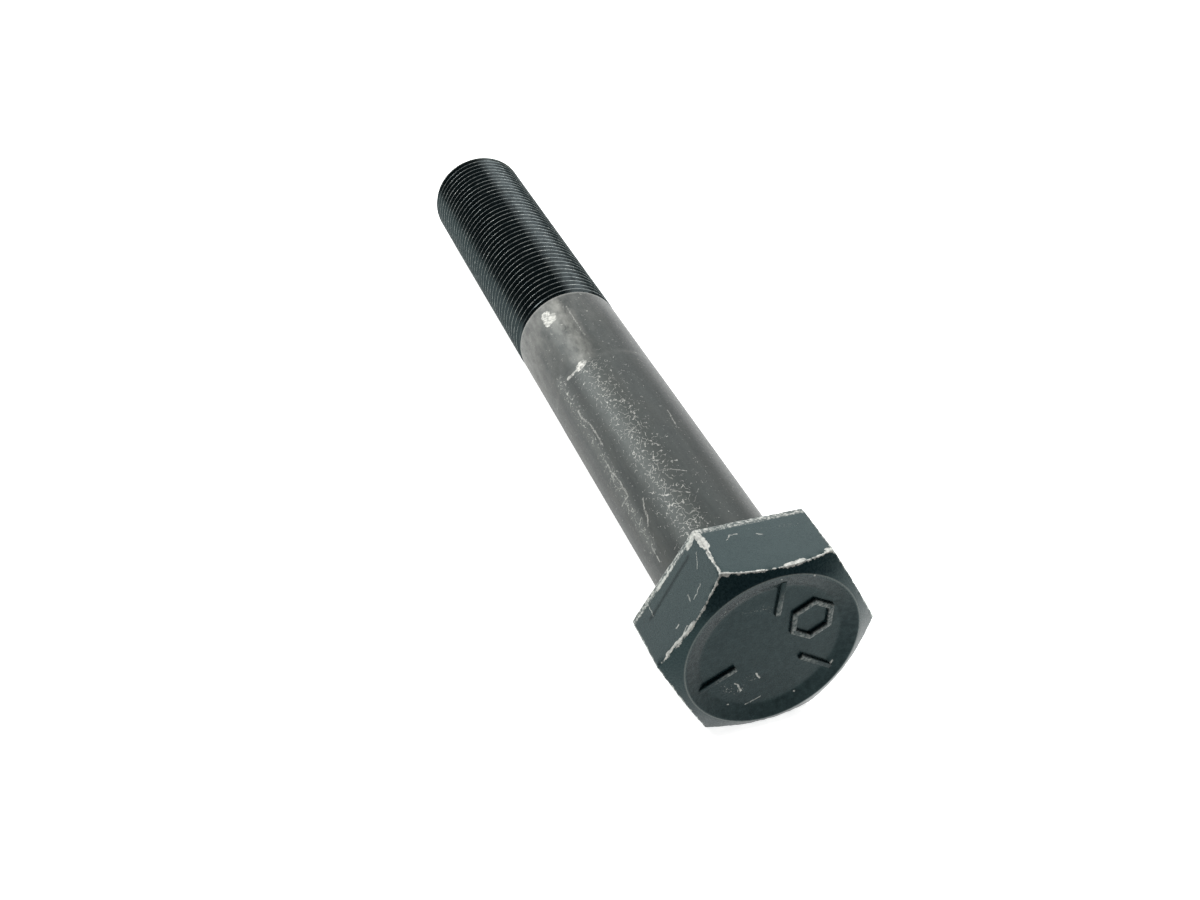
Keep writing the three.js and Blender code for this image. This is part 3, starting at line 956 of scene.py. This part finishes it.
def crest_wear_and_highlights(tree, place, radius, sheen_band):
    """Crests painted as bright lines, partly rubbed steel and partly a painted highlight: patchy all round,
    with brighter dashes, and more in the painted sheen band.
    """
    crest = node(tree, "MapRange", radius, CREST_RADIUS - 0.07, CREST_RADIUS - 0.01)
    patchy = grain(tree, place, (1.4, 1.0, 1.4), detail=3.0, seed=1.0, roughness=0.65)
    rubbed = node(tree, "MapRange", patchy, 0.42, 0.72, 0.1, 0.9)
    dashes = grain(tree, place, (1.5, 0.9, 1.5), detail=2.0, seed=4.0)
    dashes = node(tree, "MapRange", dashes, 0.6, 0.66)
    scuffed = node(tree, "MapRange", patchy, 0.45, 0.65, 0.0, 0.8)
    scuffed = node(tree, "Math", sheen_band, scuffed, operation="MULTIPLY")
    for mask in (dashes, scuffed):
        rubbed = node(tree, "Math", rubbed, mask, operation="MAXIMUM")
    return node(tree, "Math", crest, rubbed, operation="MULTIPLY")


def oiled_thread():
    """Oiled black oxide on a rolled thread: glossy black flanks, crests painted as bright lines that are
    partly wear and partly a painted highlight, and a painted sheen band along one side.

    The tip's face has turning marks, drawn 0.6 mm apart so that they show."""
    material, tree, shader = new_material("oiled_black_oxide_thread")
    place = place_mm(tree)
    from_axis = node(tree, "VectorMath", place, (0, 0, APOTHEM), operation="SUBTRACT")
    across = node(tree, "VectorMath", from_axis, (1, 0, 1), operation="MULTIPLY")
    radius = node(tree, "VectorMath", across, operation="LENGTH")

    # Painted sheen: a paler grey band along one side of the thread, also made rougher
    smeared = node(tree, "MapRange", grain(tree, place, (1.5, 4.0, 1.5), seed=5.0), 0.3, 0.6, 0.5, 1.0)
    sheen_band = node(tree, "Math", strokes(tree, place, PAINTED_SHEEN_BAND), smeared, operation="MULTIPLY")
    rubbed = crest_wear_and_highlights(tree, place, radius, sheen_band)
    cloud = grain(tree, place, 6.0, seed=2.0)
    coat = node(tree, "Mix", cloud, srgb(0x0A1215), srgb(0x131B1D), data_type="RGBA")
    coat = node(tree, "Mix", sheen_band, coat, srgb(0x6A7173), data_type="RGBA")
    tip = node(tree, "MapRange", node(tree, "SeparateXYZ", place, out="Y"), 84.1, 84.9)
    # Painted highlight: a pale olive ring round the tip's edge
    rim = node(tree, "MapRange", radius, TIP_RADIUS - 0.3, TIP_RADIUS, 0.0, 0.6)
    rim = node(tree, "Math", tip, rim, operation="MULTIPLY")
    coat = node(tree, "Mix", rim, coat, srgb(0x6F7468), data_type="RGBA")

    rough = node(tree, "MapRange", rubbed, 0.0, 1.0, 0.22, 0.42)
    sheen_band_roughness = node(tree, "Math", sheen_band, 0.4, operation="MULTIPLY")
    turns = node(tree, "Math", radius, 11.0, operation="MULTIPLY")
    cuts = node(tree, "Math", turns, operation="SINE")
    cuts = node(tree, "Math", cuts, tip, operation="MULTIPLY")
    cuts = node(tree, "Math", cuts, 0.8, operation="MULTIPLY")
    height = node(tree, "Math", grain(tree, place, 0.4, seed=3.0), cuts, operation="ADD")
    feed(
        tree,
        shader,
        Base_Color=node(tree, "Mix", rubbed, coat, srgb(0xB4B6B1), data_type="RGBA"),
        Metallic=node(tree, "Math", rubbed, 0.7, operation="MULTIPLY"),
        Roughness=node(tree, "Math", rough, sheen_band_roughness, operation="MAXIMUM"),
        Specular_Tint=THREAD_SHEEN,
        Specular_IOR_Level=0.45,
        Normal=node(tree, "Bump", named={"Height": height, "Distance": 0.004 * MM}),
    )
    return material


def finished_bolt():
    piece = bolt_mesh()
    mesh = piece.data
    nick_edges(mesh)
    keep_gaps(mesh)
    zones = [zone(face) for face in mesh.polygons]
    mesh.materials.clear()
    for material in (coated_head(), worn_shank(), oiled_thread()):
        mesh.materials.append(material)
    mesh.polygons.foreach_set("material_index", zones)
    mesh.transform(PLACE)
    mesh.shade_smooth()
    mesh.set_sharp_from_angle(angle=SHARP_ANGLE)
    piece.name = "hex_bolt_forging"
    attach(piece, "root")
    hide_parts("hex_bolt")


# ---------------------------------------------------------------- setting


def lit_floor():
    """A pale glowing sheet, tilted as the bolt lies, so that the head's back edge and the tip both touch it.

    It is acrylic lit from below: an even white without an edge."""
    droop = math.atan2(APOTHEM - CREST_RADIUS, LENGTH - 1.5 - HEX_BACK)
    touching = (0, BOLT_LOW.y + (HEAD_HEIGHT + HEX_BACK) * MM, BOLT_LOW.z)
    bm = bmesh.new()
    bmesh.ops.create_grid(bm, x_segments=1, y_segments=1, size=FLOOR_REACH)
    bmesh.ops.rotate(bm, verts=bm.verts, cent=(0, 0, 0), matrix=Matrix.Rotation(droop, 3, "X"))
    bmesh.ops.translate(bm, verts=bm.verts, vec=touching)
    floor = as_object(bm, "floor")
    material, tree, shader = new_material("glowing_white_acrylic_sheet")
    feed(tree, shader, Base_Color=srgb(0xF2F2F0), Roughness=0.9)
    feed(tree, shader, Emission_Color=srgb(0xFFFFFF), Emission_Strength=FLOOR_GLOW)
    floor.data.materials.append(material)


def black_flag():
    """A dark curved screen round the camera's side, which the camera itself doesn't see.

    It is felt, which gives back next to no light, and darkens what faces the camera."""
    bm = bmesh.new()
    bmesh.ops.create_circle(bm, cap_ends=False, segments=48, radius=FLAG_RADIUS)
    behind = Vector((-0.29, -0.76, 0)).normalized()
    gone = [v for v in bm.verts if v.co.normalized().dot(behind) < FLAG_REACH]
    bmesh.ops.delete(bm, geom=gone, context="VERTS")
    drawn = bmesh.ops.extrude_edge_only(bm, edges=bm.edges[:])["geom"]
    raised = [g for g in drawn if isinstance(g, bmesh.types.BMVert)]
    bmesh.ops.translate(bm, verts=raised, vec=(0, 0, FLAG_HEIGHT))
    flag = as_object(bm, "flag")
    material, tree, shader = new_material("black_felt")
    feed(tree, shader, Base_Color=srgb(0x101010), Roughness=1.0)
    flag.data.materials.append(material)
    flag.visible_camera = False


def aimed(name, data, place, target, roll=0.0):
    """An object for a light or a camera, at a place and pointed at a target."""
    item = bpy.data.objects.new(name, data)
    item.location = place
    item.rotation_mode = "QUATERNION"
    turn = (Vector(target) - Vector(place)).to_track_quat("-Z", "Y")
    item.rotation_quaternion = turn @ Matrix.Rotation(roll, 3, "Z").to_quaternion()
    bpy.context.scene.collection.objects.link(item)
    return item


def softboxes():
    for name, place, target, size, watts in SOFTBOXES:
        light = bpy.data.lights.new(name, "AREA")
        light.shape = "RECTANGLE"
        light.size, light.size_y = size
        light.energy = watts
        aimed(name, light, place, target)


def camera():
    lens = bpy.data.cameras.new("camera")
    lens.lens = CAMERA_LENS
    lens.sensor_width = 36.0
    lens.clip_start = 0.01
    bpy.context.scene.camera = aimed("camera", lens, CAMERA_PLACE, CAMERA_TARGET, CAMERA_ROLL)


def room():
    """An even white room. The camera sees it a little brighter than it lights, so that the floor has no
    horizon."""
    world = bpy.data.worlds.new("room")
    world.use_nodes = True
    tree = world.node_tree
    seen = node(tree, "LightPath", out="Is Camera Ray")
    glow = node(tree, "MapRange", seen, 0.0, 1.0, ROOM_GLOW, 1.0)
    feed(tree, tree.nodes["Background"], Color=(1, 1, 1, 1), Strength=glow)
    bpy.context.scene.world = world


finished_bolt()
lit_floor()
black_flag()
softboxes()
camera()
room()
bpy.context.scene.view_settings.view_transform = "Standard"
